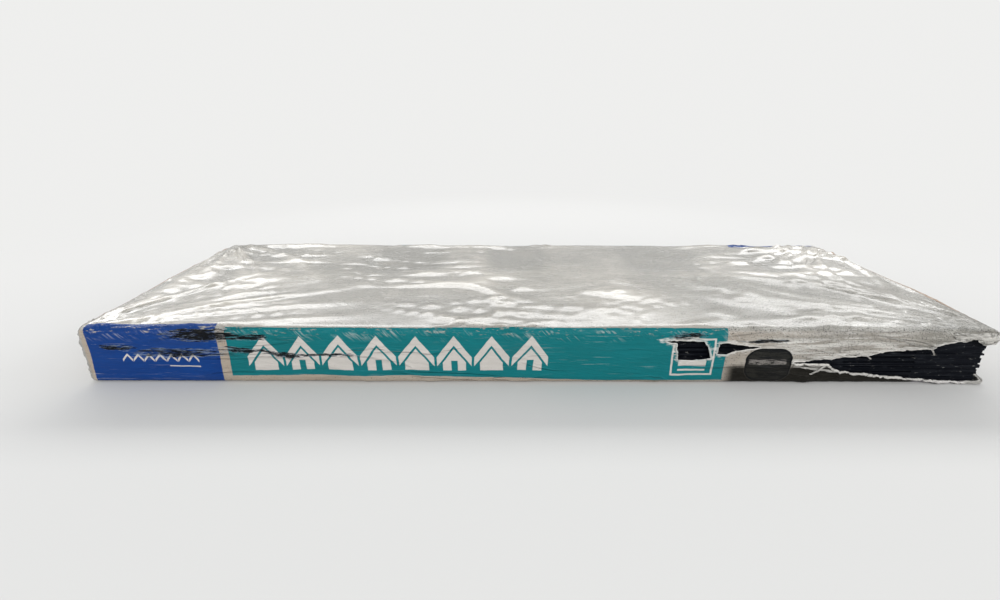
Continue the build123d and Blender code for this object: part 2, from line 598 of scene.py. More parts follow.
on_rim, ends = rim_edges(film)
points = places(film)
rim = np.zeros(len(points), bool)
rim[ends[on_rim].ravel()] = True
rim &= near_openings(points)
rim_numbers = np.flatnonzero(rim)
flat = unrolled(points[rim_numbers])
distances = np.stack([nearest(flat, outline)[0] for outline in openings])
for number, outline in enumerate(openings):
    mine = (distances.argmin(axis=0) == number) & (distances.min(axis=0) < rim_band)
    chosen = rim_numbers[mine]
    move = outline[nearest(flat[mine], outline)[1]] - flat[mine]
    on_end = points[chosen, 0] > half_length - end_edge_radius / 2
    points[chosen, 0] += np.where(on_end, 0, move[:, 0])
    points[chosen, 1] += np.where(on_end, move[:, 0], 0)
    points[chosen, 2] += move[:, 1]
put(film, points)
print("rim of", len(rim_numbers), "vertices moved onto the outlines")

# %% [markdown]
# Torn film doesn't end in a clean edge: it was stretched before it gave way, so its rim is thick,
# whitish and rolled back on itself, more along the lower edge of the long tear than elsewhere. A
# bevelled curve could lie along it, but it would look like a cord on the film. So the rim itself is
# rolled. This needs three things for each of its vertices: the way out from the stack, the way
# back over the film, and an uneven size.

# %% The way each rim rolls


def outward(place):
    """The direction straight out from the stack at a place."""
    held = [min(max(value, low), high) for value, low, high in zip(place, core_low, core_high)]
    return (Vector(place) - Vector(held)).normalized()


roll_of_low_edge = 1.5
roll_elsewhere = 0.8
film.data.attributes.new("roll", "FLOAT", "POINT")
on_rim, ends = rim_edges(film)
points = places(film)
torn = np.zeros(len(film.data.edges), bool)
torn[on_rim] = near_openings(points[ends[on_rim]].mean(axis=1))
flat = unrolled(points[ends[torn]].mean(axis=1))
torn[torn] = np.min([nearest(flat, outline)[0] for outline in openings], axis=0) < rim_band
rim_ends = ends[torn]
rim_numbers = np.unique(rim_ends)
towards_film = np.zeros((len(points), 3))
for face in film.data.polygons:
    for number in face.vertices:
        towards_film[number] += np.array(face.center) - points[number]
rest = points[rim_numbers]
away = towards_film[rim_numbers]
out = np.array([outward(place) for place in rest])
away -= out * (away * out).sum(axis=1, keepdims=True)
away /= np.maximum(np.linalg.norm(away, axis=1, keepdims=True), 1e-9)
tear_near = nearest(unrolled(rest), openings[0])[0] < rim_band
short_wander = 7 * mm
long_wander = 25 * mm
uneven = [
    1 + 0.7 * noise.noise(Vector(at) / short_wander) + 0.4 * noise.noise(Vector(at) / long_wander)
    for at in rest
]
on_low_edge = tear_near & (away[:, 2] < -0.4)
roll_size = np.where(on_low_edge, roll_of_low_edge, roll_elsewhere) * np.array(uneven) * mm
for turn in range(2):
    share = dict(zip(rim_numbers, away))
    total = {number: np.zeros(3) for number in rim_numbers}
    for first, second in rim_ends:
        total[first] += share[second]
        total[second] += share[first]
    away = np.array([share[number] + total[number] for number in rim_numbers])
    away /= np.maximum(np.linalg.norm(away, axis=1, keepdims=True), 1e-9)
print("rolls of", round(roll_size.min() / mm, 2), "to", round(roll_size.max() / mm, 2), "mm")

# %% [markdown]
# The rim is extruded three times: out from the stack, further out and back, and down onto the film.
# Extruding in edit mode keeps the new edges selected, so the next step starts from them. They are
# marked as rolled, which turns them white in the finish.

# %% Rolling the rims
curl = [(0.8, -0.35), (1.5, 0.35), (1.1, 1.25)]
edit(film, "EDGE")
done()
film.data.edges.foreach_set("select", torn)
bpy.ops.object.mode_set(mode="EDIT")
before = [rest]
for up, back in curl:
    push((0, 0, 0))
    done()
    now = places(film)
    fresh = np.zeros(len(now), bool)
    film.data.vertices.foreach_get("select", fresh)
    fresh = np.flatnonzero(fresh)
    wanted = rest + out * up * roll_size[:, None] + away * back * roll_size[:, None]
    order = [int(np.linalg.norm(before[-1] - now[number], axis=1).argmin()) for number in fresh]
    now[fresh] = wanted[order]
    put(film, now)
    whiten = film.data.attributes["roll"].data
    for number in fresh:
        whiten[number].value = 1
    before.append(wanted)
    bpy.ops.object.mode_set(mode="EDIT")
done()
print("rolled rims", len(film.data.polygons), "faces")

# %% [markdown]
# Shreds of film still hang at the tear. They could be extruded from the rim, but a path lets a shred
# cross the opening and stand off it. So each is a plane that is cut into a grid and laid along a
# path. The path is drawn on the unrolled side, and one function rolls it round the corner.

# %% Paths on the unrolled side
full_length = 2 * half_length
corner_radius = end_edge_radius


def rolled(run, up, out):
    """The place for a run from the left end along the front and round the corner."""
    past = run - (full_length - corner_radius)
    quarter = corner_radius * math.pi / 2
    if past < 0:
        return Vector((run - half_length, -half_width - out, up))
    if past > quarter:
        return Vector((half_length + out, -half_width + corner_radius + past - quarter, up))
    turn = past / corner_radius
    ray = Vector((math.sin(turn), -math.cos(turn), 0))
    middle = Vector((half_length - corner_radius, -half_width + corner_radius, up))
    return middle + ray * (corner_radius + out)


def along_path(path, share):
    """A place on a path of points, at a share of it from 0 to 1."""
    step = min(share * (len(path) - 1), len(path) - 1.001)
    number = int(step)
    first, second = Vector(path[number]), Vector(path[number + 1])
    return first.lerp(second, step - number)


print("the front's far end rolls to x", round(rolled(full_length, height / 2, 0).x, 4), "m")

# %% [markdown]
# Six shreds are laid: a ribbon and a tag on the upper edge, a curl and a narrow strip on the lower
# lip, a curl at the floor, and a crumpled scrap over the corner. Each has its path, its widths along
# it, how finely it is cut and how much it is crumpled. They are joined to the film, since they are
# the same sheet.

# %% Shreds at the tear


def shred(path, widths, cuts, crumpled, seed):
    """A ragged ribbon of film. The path holds run, height and distance off the stack, in millimetres."""
    bpy.ops.mesh.primitive_plane_add(size=1)
    piece = bpy.context.object
    only(piece)
    bpy.ops.object.mode_set(mode="EDIT")
    bpy.ops.mesh.subdivide(number_cuts=cuts)
    done()
    laid = []
    for x, y, _ in places(piece):
        share = min(1.0, max(0.0, x + 0.5))
        at = along_path(path, share)
        ahead = along_path(path, min(1.0, share + 0.02)) - along_path(path, max(0.0, share - 0.02))
        across = Vector((-ahead.y, ahead.x, 0)).normalized()
        half = along_path([(width, 0, 0) for width in widths], share).x / 2
        rough = 1 + 0.5 * swell(share * 0.1, y, 0.007, seed)
        at += across * (2 * y * half * rough)
        off = at.z + crumpled * (crumple(share * 0.06, y * 0.03, 0.012, seed + 3) - 0.4 + 0.6 * abs(y))
        laid.append(rolled(at.x * mm, at.y * mm, max(0.3, off) * mm))
    put(piece, np.array(laid))
    for name, value in (("roll", 0.75), ("lift", 3.0)):
        kept = piece.data.attributes.new(name, "FLOAT", "POINT")
        kept.data.foreach_set("value", np.full(len(laid), value, np.float32))
    return piece


ribbon = [(881, 42, 0.8), (896, 45.5, 2.2), (912, 46, 2.8), (924, 45, 3.0), (930, 37, 2.2)]
tag = [(846, 37, 0.6), (857, 36, 1.8), (862, 32, 2.4)]
lip_curl = [(800, 12, 1.0), (808, 18, 2.6), (816, 25, 1.6)]
lip_strip = [(780, 22, 0.5), (798, 20, 1.2), (816, 17.5, 1.4), (830, 15.5, 1.2)]
floor_curl = [(966, 3.2, 1.5), (984, 3.0, 3.0), (1000, 4.2, 4.5), (1008, 8, 3.5)]
scrap = [(944, 61, 1.0), (956, 58, 2.2), (968, 60, 3.6), (981, 56, 3.0), (996, 59, 3.6), (1014, 55, 1.2)]
shred_kinds = [
    (ribbon, (2, 2.4, 1.6, 2.4, 0.8), 21, 0.8),
    (tag, (3.0, 2.2, 0.6), 9, 0.6),
    (lip_curl, (1.2, 2.4, 1.6), 11, 0.6),
    (lip_strip, (0.8, 2.2, 2.4, 1.6), 19, 0.7),
    (floor_curl, (1.6, 2.6, 3.0, 1.0), 17, 0.8),
    (scrap, (4, 10, 6, 15, 8, 3), 39, 2.4),
]
shreds = [shred(*values, 51 + number) for number, values in enumerate(shred_kinds)]
only(film)
for piece in shreds:
    piece.select_set(True)
bpy.ops.object.join()
print("with shreds", len(film.data.polygons), "faces")

# %% [markdown]
# Film turns white where it was stretched. That could be painted on, but a value on each vertex, of
# how near it is to a tear, needs no unwrapping and follows the ragged rim. Solidify then gives the
# sheet its thickness, inwards, and smooth shading hides the grid.

# %% Stretched film near the tears, and the sheet's thickness
stretched_reach = 6 * mm
sheet_thickness = 0.35 * mm
points = places(film)
stress = np.zeros(len(points))
close = near_openings(points)
flat = unrolled(points[close])
nearest_tear = np.min([nearest(flat, outline)[0] for outline in openings], axis=0)
stress[close] = np.exp(-nearest_tear / stretched_reach)
stretched = film.data.attributes.new("stress", "FLOAT", "POINT")
stretched.data.foreach_set("value", stress.astype(np.float32))
finish_with(film, "SOLIDIFY", thickness=sheet_thickness, offset=-1, use_rim=True)
only(film)
bpy.ops.object.shade_smooth()
triangles = sum(len(face.vertices) - 2 for face in film.data.polygons)
print("film", triangles, "triangles")

# %% [markdown]
# Nodes could be added one call at a time, but a long chain of calls hides what it works out. Shader
# maths reads best as sums. So one small class wraps a socket, sums on it add the Math nodes, and one
# method adds every other kind of node.

# %% Sums of sockets


class Wire:
    """A socket of the material in hand, which can be used in Python sums."""

    tree = None

    def __init__(self, socket):
        self.socket = socket

    @staticmethod
    def node(kind, values=None, settings=None, out=0):
        """Adds a node: first its settings, then what its sockets hold or are linked to."""
        made = Wire.tree.nodes.new("ShaderNode" + kind)
        for name, value in (settings or {}).items():
            setattr(made, name, value)
        sockets = {socket.identifier: socket for socket in made.inputs}
        for name, value in (values or {}).items():
            if isinstance(value, Wire):
                Wire.tree.links.new(value.socket, sockets[name])
            else:
                sockets[name].default_value = value
        if isinstance(out, int):
            return Wire(made.outputs[out])
        return Wire({socket.identifier: socket for socket in made.outputs}[out])

    def sum(self, operation, *others):
        names = ("Value", "Value_001", "Value_002")
        return Wire.node("Math", dict(zip(names, (self, *others))), {"operation": operation})

    def back(self, operation, other):
        return Wire.node("Math", {"Value": other, "Value_001": self}, {"operation": operation})

    def __add__(self, other):
        return self.sum("ADD", other)

    def __radd__(self, other):
        return self.sum("ADD", other)

    def __sub__(self, other):
        return self.sum("SUBTRACT", other)

    def __rsub__(self, other):
        return self.back("SUBTRACT", other)

    def __mul__(self, other):
        return self.sum("MULTIPLY", other)

    def __rmul__(self, other):
        return self.sum("MULTIPLY", other)

    def __truediv__(self, other):
        return self.sum("DIVIDE", other)

    def __pow__(self, other):
        return self.sum("POWER", other)

    def __mod__(self, other):
        return self.sum("FLOORED_MODULO", other)

    def __lt__(self, other):
        return self.sum("LESS_THAN", other)

    def __gt__(self, other):
        return self.sum("GREATER_THAN", other)

    def __abs__(self):
        return self.sum("ABSOLUTE")

    def floor(self):
        return self.sum("FLOOR")

    def least(self, other):
        return self.sum("MINIMUM", other)

    def most(self, other):
        return self.sum("MAXIMUM", other)


# %% [markdown]
# Finishes are built from a few plain parts: a soft step, a band, a mix of two colours, grain of a
# given size in millimetres, and ridges. Every size is in millimetres on the piece itself, so the
# pattern keeps its scale whatever the view.

# %% Parts of a finish


def smooth(value, low, high):
    """Goes smoothly from 0 at low to 1 at high, or back down where low is the larger."""
    values = {"Value": value, "From Min": low, "From Max": high}
    return Wire.node("MapRange", values, {"interpolation_type": "SMOOTHSTEP"})


def within(value, low, high, soft=0.4):
    """1 between two values and 0 outside them."""
    return smooth(value, low - soft, low + soft) * smooth(value, high + soft, high - soft)


def mix(mask, without, where):
    """One colour without the mask and the other where it is 1. Colours are linear red, green, blue."""
    full = [value if isinstance(value, Wire) else (*value, 1) for value in (without, where)]
    values = {"Factor_Float": mask, "A_Color": full[0], "B_Color": full[1]}
    return Wire.node("Mix", values, {"data_type": "RGBA"}, "Result_Color")


def noise_at(place, detail, roughness, distortion=0.0):
    """Noise between 0 and 1 whose spots are one unit wide."""
    values = {"Vector": place, "Scale": 1.0, "Detail": detail, "Roughness": roughness}
    return Wire.node("TexNoise", {**values, "Distortion": distortion})


def grain(place, sizes, turn=(0, 0, 0), detail=2.0, roughness=0.5, distortion=0.0, shift=0.0):
    """Noise between 0 and 1 whose spots are as large as sizes, in millimetres, and turned."""
    scale = tuple(size * mm for size in sizes)
    laid = {"Vector": place, "Scale": scale, "Rotation": turn, "Location": (shift, 0, 0)}
    turned = Wire.node("Mapping", laid, {"vector_type": "TEXTURE"})
    return noise_at(turned, detail, roughness, distortion)


def sharp(value, breadth):
    """Turns noise into thin ridges with a sharp crest and long flanks."""
    return (1 - abs(value - 0.5) / breadth).most(0) ** 1.4


# %% [markdown]
# A material starts empty and ends with one Principled shader. What varies over the surface feeds its
# colour, roughness and bump, and what is the same everywhere is set on its sockets.

# %% Starting and ending a material


def start_material(name):
    """Makes an empty material the one in hand."""
    material = bpy.data.materials.new(name)
    material.use_nodes = True
    material.node_tree.nodes.clear()
    Wire.tree = material.node_tree
    return material


def show(shader, kind="Material"):
    """Joins a finished shader to the output of the material or world in hand."""
    output = Wire.tree.nodes.new("ShaderNodeOutput" + kind)
    Wire.tree.links.new(shader.socket, output.inputs["Surface"])


def end_material(colour, roughness, bump, constants):
    """Joins the finished values to the surface. Bump is a height in millimetres."""
    normal = Wire.node("Bump", {"Height": bump, "Distance": mm, "Strength": 1.0})
    shader = {"Base Color": colour, "Roughness": roughness, "Normal": normal}
    show(Wire.node("BsdfPrincipled", {**shader, **constants}))


def so_far(what):
    """Prints how many nodes the material in hand has after a step."""
    print(what, "done,", len(Wire.tree.nodes), "nodes so far")


def object_place():
    """Object coordinates, and each of them in millimetres."""
    place = Wire.node("TexCoord", out="Object")
    return place, *(Wire.node("SeparateXYZ", {"Vector": place}, out=name) * 1000 for name in "XYZ")


def attribute(name):
    """The value that the modelling stored on each vertex."""
    return Wire.node("Attribute", None, {"attribute_name": name}, "Fac")


# %% [markdown]
# The film is milky polyethylene. Where it lies tight on the dark shingles it looks grey, where it
# stands off them it looks pale, and where several layers lie on each other at the ends it looks like
# peach. Each long side is printed with a blue and a teal panel. Asphalt has rubbed off on the
# front, and granules press through the film on the right. A clear film could be a transparent
# shader over the stack, but its layers would need light to pass many surfaces, and the baked model
# couldn't show it, so the grey of the shingles beneath is part of the colour here.

# %% Colours of the film, as linear red, green and blue
film_pale = (0.44, 0.41, 0.355)
film_tight = (0.215, 0.208, 0.182)
film_side = (0.351, 0.289, 0.226)
film_grey = (0.30, 0.29, 0.262)
film_peach = (0.600, 0.384, 0.262)
film_peach_dull = (0.468, 0.322, 0.226)
film_peach_grey = (0.33, 0.27, 0.22)
film_dark = (0.055, 0.052, 0.044)
film_white = (0.66, 0.64, 0.60)
film_turned_up = (0.30, 0.275, 0.31)
print_blue = (0.0005, 0.028, 0.150)
print_blue_bright = (0.001, 0.048, 0.230)
print_teal = (0.0005, 0.122, 0.132)
print_teal_bright = (0.001, 0.170, 0.192)
print_pale = (0.56, 0.52, 0.48)
scuffed = (0.24, 0.29, 0.34)
patch_grey = (0.016, 0.016, 0.014)
mark_black = (0.010, 0.011, 0.009)
asphalt_black = (0.003, 0.004, 0.005)
asphalt_smear = (0.008, 0.011, 0.018)
dirt_brown = (0.009, 0.008, 0.006)
grime_brown = (0.07, 0.062, 0.05)

# %% [markdown]
# The print could be a picture on an unwrapped mesh. Masks that are worked out from the place stay
# sharp at any distance and need no picture. They are placed in millimetres from the left end and
# from the floor, so each panel, row and rub is a row of plain numbers that can be moved.

# %% Places and figures of the print
long_mm, wide_mm, high_mm = half_length / mm, half_width / mm, height / mm
blue_panel = (7, 149)
teal_panel = (159, 703)
tab_row = (178, 510)
small_row = (42, 126)
badge = (645, 691)
badge_low, badge_high = 11, 56
badge_line = 2
dark_patch = (752, 24)
blue_on_top = 9
blue_underneath = 24
torn_back = (918, 972)
dragged = (800, 46, 130, 18)
# Where asphalt has rubbed off: centre from the left, centre height, half length, half height,
# slope, and how much has stayed
rubs = [
    (132, 58, 42, 8, 0.0, 1.0),
    (108, 38, 60, 7, 0.02, 0.55),
    (38, 44, 19, 4, 0.0, 0.9),
    (182, 56, 24, 4, 0.0, 1.0),
    (170, 42, 24, 2.4, -0.12, 1.0),
    (210, 37, 26, 5, -0.2, 1.0),
    (262, 34, 44, 2.0, 0.0, 0.9),
    (657, 59, 24, 4.5, 0.0, 0.9),
    (742, 53, 30, 2.5, 0.0, 1.0),
]


def box(along, around, left, right, low, high, soft=0.4):
    """1 inside a rectangle on the unrolled side."""
    return within(along, left, right, soft) * within(around, low, high, soft)


def gable_row(along, around, ends, low, high, walls=True):
    """A printed row of plain gables: a thick roof over a wall, and a door in every other one."""
    tall = high - low
    soft = 0.4 / tall
    cell = (along - ends[0]) / tall
    aside = abs(cell % 1 - 0.5)
    up = (around - low) / tall
    ridge = 1 - 1.3 * aside
    roof = within(up, ridge - 0.27, ridge, soft) * smooth(aside, 0.465 + soft, 0.465 - soft)
    if not walls:
        return roof * within(along, *ends)
    wall = within(up, 0, ridge - 0.36, soft) * smooth(aside, 0.31 + soft, 0.31 - soft)
    door = within(up, -0.1, 0.3, soft) * smooth(aside, 0.085 + soft, 0.085 - soft)
    door = door * (cell.floor() % 2)
    return (roof + wall * (1 - door)) * within(along, *ends)


def clouds_at(place, shift):
    """Soft patches as wide as a hand."""
    return grain(place, (110, 90, 60), detail=2, shift=shift + 0.5)


print("print places", blue_panel, teal_panel, badge, len(rubs), "rubs")

# %% [markdown]
# Every mask starts from the place on the piece. The distances to the ends and sides tell the faces
# apart, and a little noise on the two running lengths makes each printed edge wander as film does.

# %% Where a point of the film is
film_look = start_material("printed_film")
place, x, y, z = object_place()
to_end = long_mm - abs(x)
to_side = wide_mm - abs(y)
front = y < 0
front_face = front * smooth(to_side, 14, 8)
on_top = smooth(z, high_mm - 3, high_mm - 0.8)
on_end = smooth(to_end, 4.5, 2.5)
underneath = smooth(z, 3, 0.8) * smooth(to_side, 3, 9)
along = x * (2 * front - 1) + long_mm
around = z + (to_side - 2).most(0) * (2 * (z > high_mm / 2) - 1)
along = along + (grain(place, (90, 90, 90), shift=1) - 0.5) * 8 + (grain(place, (14, 14, 14)) - 0.5) * 1.4
around = around + (grain(place, (110, 60, 60), shift=2) - 0.5) * 6 + (grain(place, (16, 9, 9)) - 0.5) * 1.4
lift = attribute("lift")
stress = attribute("stress")
roll = attribute("roll")
so_far("places")

# %% [markdown]
# Film is drawn into creases that fan out from the four corners of the top, and into others that run
# with it. They are ridges of noise: in polar coordinates round each corner, and stretched noise
# elsewhere. They show in the colour, as whitened film, and later in the height.

# %% Creases of the top
reach = (to_end * to_end + to_side * to_side).sum("SQRT")
turn = to_side.sum("ARCTAN2", to_end)
corner = (x > 0) * 7 + (y > 0) * 13
fan = Wire.node("CombineXYZ", {"X": turn * 3.6, "Y": reach / 110, "Z": corner})
fan_line = sharp(noise_at(fan, 2.0, 0.6, 0.25), 0.06) * smooth(reach, 330, 90) * smooth(reach, 4, 40)
fan_line = fan_line * on_top * smooth(clouds_at(place, 41), 0.35, 0.55)
run_line = sharp(grain(place, (190, 20, 20), turn=(0, 0, 0.1), detail=2, distortion=0.3, shift=23), 0.04)
run_line = run_line * smooth(grain(place, (150, 110, 60), detail=1, shift=31), 0.48, 0.62)
cross_line = sharp(grain(place, (90, 20, 20), turn=(0, 0, -0.5), detail=2, shift=33), 0.035)
cross_line = cross_line * smooth(grain(place, (90, 80, 60), detail=1, shift=35), 0.52, 0.64) * on_top
edge_line = sharp(grain(place, (7, 60, 60), turn=(0, 0, 0.75), detail=2, shift=37), 0.14)
edge_line = edge_line * on_top * smooth(to_side, 30, 4) * smooth(clouds_at(place, 37), 0.4, 0.6)
so_far("creases")

# %% [markdown]
# The bare film is darker where it lies on the shingles and paler where it stands off them. The
# sculpting kept how far each vertex was lifted, and that drives the mix. Towards the right end the
# film is slack and folded, and whitened above the tear. Painted shade darkens the troughs of the
# folds and the front's last stretch, and a painted highlight lies on the folds' crests. The folded
# ends are peach.

# %% Bare film
mottle = grain(place, (16, 10, 10), detail=5, roughness=0.6)
clouds = grain(place, (150, 110, 60), detail=4, roughness=0.55, shift=6)
right = front * smooth(along, 560, 830)
stand_off = smooth(lift * 0.8 + (mottle - 0.5) * 1.6 + (clouds - 0.5) * 2.5, -0.6, 3.4)
folds = Wire.node("CombineXYZ", {"X": along / 150, "Y": front * 5, "Z": (around + along * 0.22) / 11})
folds = noise_at(folds, 4.0, 0.6)
fold_share = smooth(along, 700, 860) * (1 - on_top) * (1 - on_end)
# Painted shade in the troughs of the folds and a painted highlight on their crests. The same masks also
# give the folds their height in the bump.
fold_trough_shade = smooth(folds, 0.54, 0.40) * fold_share * (1 - 0.6 * front)
fold_crest_highlight = sharp(folds - 0.08, 0.05) * fold_share
side_tone = mix(stand_off * 0.6, film_side, film_pale)
side_tone = mix(fold_trough_shade * 0.7, side_tone, film_dark)
side_tone = mix(fold_crest_highlight * 0.6, side_tone, film_white)
bare = mix(on_top.most(underneath), side_tone, mix(stand_off, film_tight, film_pale))
bare = mix(right * 0.7, bare, film_grey)
frost = smooth(grain(place, (44, 9, 3.4), detail=5, roughness=0.72, shift=71), 0.44, 0.58) * front_face
frost_patches = smooth(grain(place, (90, 50, 18), detail=2, shift=73), 0.3, 0.5)
frost = frost * within(along, 745, 895, 30) * frost_patches
bare = mix(frost * 0.8, bare, film_white)
# Painted shade over the front's last stretch, from 890 to 935 mm along.
bare = mix(front_face * smooth(along, 890, 935) * 0.6, bare, film_tight)
creased = (fan_line * 0.6 + run_line * on_top + cross_line + edge_line * 0.6).least(1)
bare = mix(creased * 0.3, bare, film_white)
edge_of_peach = to_side + (grain(place, (30, 30, 24), detail=3, shift=43) - 0.5) * 16
folded = on_end * smooth(edge_of_peach, 23, 27)
end_tone = mix(smooth(z + (mottle - 0.5) * 16, 24, 40), film_peach, film_peach_dull)
end_tone = mix(grain(place, (40, 40, 30), detail=4, shift=45) * 0.6, end_tone, film_peach_grey)
bare = mix(on_end, bare, film_grey)
bare = mix(folded * 0.94, bare, end_tone)
so_far("bare film")

# %% [markdown]
# The print is a stack of masks: the two panels, the pale rows of gables, bars and frames on them, and
# where the ink has worn off along the upper edge. A dark patch is printed on the bare film, and fine
# slanting lines catch the light where the film bends over the edge.

# %% The print
streaks = grain(place, (20, 6, 1.7), detail=6, roughness=0.78, shift=7)
dashes = grain(place, (9, 5, 1.0), detail=6, roughness=0.75, shift=55)
blue = box(along, around, *blue_panel, -blue_underneath, high_mm + blue_on_top)
strip = 10 - 5.5 * smooth(along, 330, 620)
teal = within(along, *teal_panel) * smooth(around, strip - 0.4, strip + 0.4) * (around < high_mm + 2)
gables = gable_row(along, around, tab_row, 17, 58.5)
gables = gables.most(gable_row(along, around, small_row, 25, 37, walls=False))
gables = gables.most(box(along, around, small_row[1] - 34, small_row[1], 20.5, 22))
badge_left, badge_right = badge
frame_line = box(along, around, *badge, badge_low, badge_high)
inner_ends = (badge_left + badge_line, badge_right - badge_line)
frame_line = frame_line - box(along, around, *inner_ends, badge_low + badge_line, badge_high - badge_line)
wide_bar = box(along, around, badge_left + 8, badge_right - 8, 22, 29)
bars = wide_bar.most(box(along, around, badge_left + 8, badge_right - 8, 16.5, 18.5))
pale = gables.most(frame_line * front_face).most(bars * front_face)
worn = smooth(grain(place, (9, 3, 2.2), detail=5, roughness=0.65, shift=3), 0.58, 0.66)
worn = worn * smooth(around, high_mm - 10, high_mm)
printed = (blue + teal).least(1) * (1 - worn) * (1 - on_end)
tone = grain(place, (60, 30, 20), detail=4, roughness=0.6, shift=5)
ink = mix(teal, mix(tone, print_blue, print_blue_bright), mix(tone, print_teal, print_teal_bright))
colour = mix(printed * 0.98, bare, ink)
colour = mix(pale * printed * 0.95, colour, print_pale)
patch_along, patch_level = dark_patch
patch_x = (abs(along - patch_along) - 10).most(0)
patch_z = (abs(around - patch_level) - 5).most(0)
patch = (patch_x * patch_x + patch_z * patch_z).sum("SQRT")
ring_of_patch = smooth(patch, 16.2, 15.4) * smooth(patch, 13.4, 14.2) * front_face
patch = smooth(patch, 16.2, 15.4) * front_face
bar_of_patch = box(along, around, patch_along - 22, patch_along + 20, patch_level, patch_level + 7, 1.0)
worn_off = smooth(grain(place, (22, 6, 4), detail=5, roughness=0.65, shift=47), 0.44, 0.60)
colour = mix(patch * 0.99, colour, mix(worn_off, asphalt_black, patch_grey))
colour = mix(ring_of_patch * 0.9, colour, asphalt_black)
bar_of_patch = bar_of_patch * front_face * smooth(dashes, 0.42, 0.58)
colour = mix(bar_of_patch * 0.4, colour, print_pale)
shine_line = sharp(grain(place, (3.4, 40, 40), turn=(0, math.radians(-46), 0), detail=1, shift=49), 0.09)
shine_line = shine_line * smooth(grain(place, (24, 30, 9), detail=3, shift=51), 0.48, 0.64)
shine_line = shine_line * smooth(around, high_mm - 17, high_mm - 3) * (1 - on_top) * (1 - on_end)
colour = mix(shine_line * 0.4, colour, film_white)
so_far("print")

# %% [markdown]
# Asphalt was rubbed onto the front in streaks. Each rub is an ellipse whose places are shaken by
# noise, so that streaky noise can break it up: a black core, a smear round it and scuffed flecks.

# %% Rubs and scratches
rub = 0
rub_along = along + (grain(place, (26, 12, 5), detail=4, roughness=0.6, shift=63) - 0.5) * 60
rub_around = around + (grain(place, (30, 12, 7), detail=4, roughness=0.6, shift=65) - 0.5) * 12
for centre, level, half, tall, slope, stayed in rubs:
    off_x = (rub_along - centre) / half
    off_z = (rub_around - level - slope * (rub_along - centre)) / tall
    rub = ((1 - (off_x * off_x + off_z * off_z)) * stayed).most(rub)
near_rub = front_face * smooth(rub, 0.0, 0.14)
smear = near_rub * smooth(rub * 0.8 + (streaks - 0.5) * 3.0, 0.1, 0.5)
broken = smooth(grain(place, (8, 4, 1.4), detail=5, roughness=0.75, shift=75), 0.38, 0.47)
core = near_rub * smooth(rub * 0.7 + (streaks - 0.5) * 4.0, 0.24, 0.34) * broken
flecks = near_rub * smooth(dashes, 0.48, 0.56) * (1 - core)
colour = mix(smear * 0.7, colour, asphalt_smear)
colour = mix(core * 0.98, colour, asphalt_black)
colour = mix(flecks * 0.6, colour, scuffed)
scratch = smooth(grain(place, (55, 9, 1.2), detail=5, roughness=0.65, shift=9), 0.60, 0.68)
drag_along, drag_level, drag_half, drag_tall = dragged
hit = 1 - (((along - drag_along) / drag_half) ** 2 + ((around - drag_level) / drag_tall) ** 2)
some = smooth(grain(place, (80, 60, 25), shift=11), 0.46, 0.60) * 0.45
scratch = scratch * some.most(rub.most(hit).most(0) * front_face) * (1 - 0.9 * patch)
colour = mix(scratch * 0.6 * (1 - core), colour, film_white)
so_far("rubs")

# %% [markdown]
# Granules press through as specks, most of all where the film is tight. Under the tear the film is
# thin and shows the dark stack, it is turned up at the floor, and torn edges are white.

# %% Specks, dirt and torn edges
thready = grain(place, (7, 3, 2), detail=4, roughness=0.65, shift=21)
dots = grain(place, (1.2, 1.2, 1.2), detail=1, shift=13)
crowd = right * 0.075 + 0.05 * (1 - stand_off) * on_top
crowd = crowd + 0.03 * grain(place, (70, 50, 40), detail=3, shift=15)
speck = smooth(dots + crowd, 0.69, 0.73) * (1 - 0.8 * printed) * (1 - 0.7 * folded) * (1 - 0.5 * on_end)
colour = mix(speck * 0.7, colour, asphalt_black)
seen_edge = 23 + (mottle - 0.5) * 12
see_through = front_face * smooth(along, 700, 716) * smooth(around - seen_edge, 3, -4) * (1 - printed)
colour = mix(see_through * (1 - 0.7 * patch), colour, mix(thready ** 4, dirt_brown, film_dark))
turned_up = front_face * box(along, around, *torn_back, -5, 5.5, 1.5)
colour = mix(turned_up * 0.8, colour, film_turned_up)
grime = smooth(grain(place, (120, 90, 30), detail=5, roughness=0.6, shift=19), 0.5, 0.75)
colour = mix(grime * (0.28 - 0.2 * printed) * (1 - see_through.most(patch)), colour, grime_brown)
mark_aside = y + wide_mm - 78 + (z - 48) * 0.55 + (z - 44) ** 2 * 0.022
mark = on_end * smooth(abs(mark_aside), 6.4, 5.6) * within(z + (mottle - 0.5) * 4, 37, 61)
colour = mix(mark * 0.96, colour, mark_black)
fuzz = smooth(stress + (thready - 0.5) * 1.6 + (streaks - 0.5) * 1.2, 0.55, 0.95)
pulled = (fuzz * (1 - see_through.most(patch))).most(roll)
colour = mix(pulled * (0.3 + 0.9 * thready).least(1), colour, film_white)
so_far("specks")

# %% [markdown]
# Creases too small for the mesh are a height in millimetres that the Bump node turns into shading:
# the fans and runs again, hatching under the top edge, crumples on the ends and long soft waves.

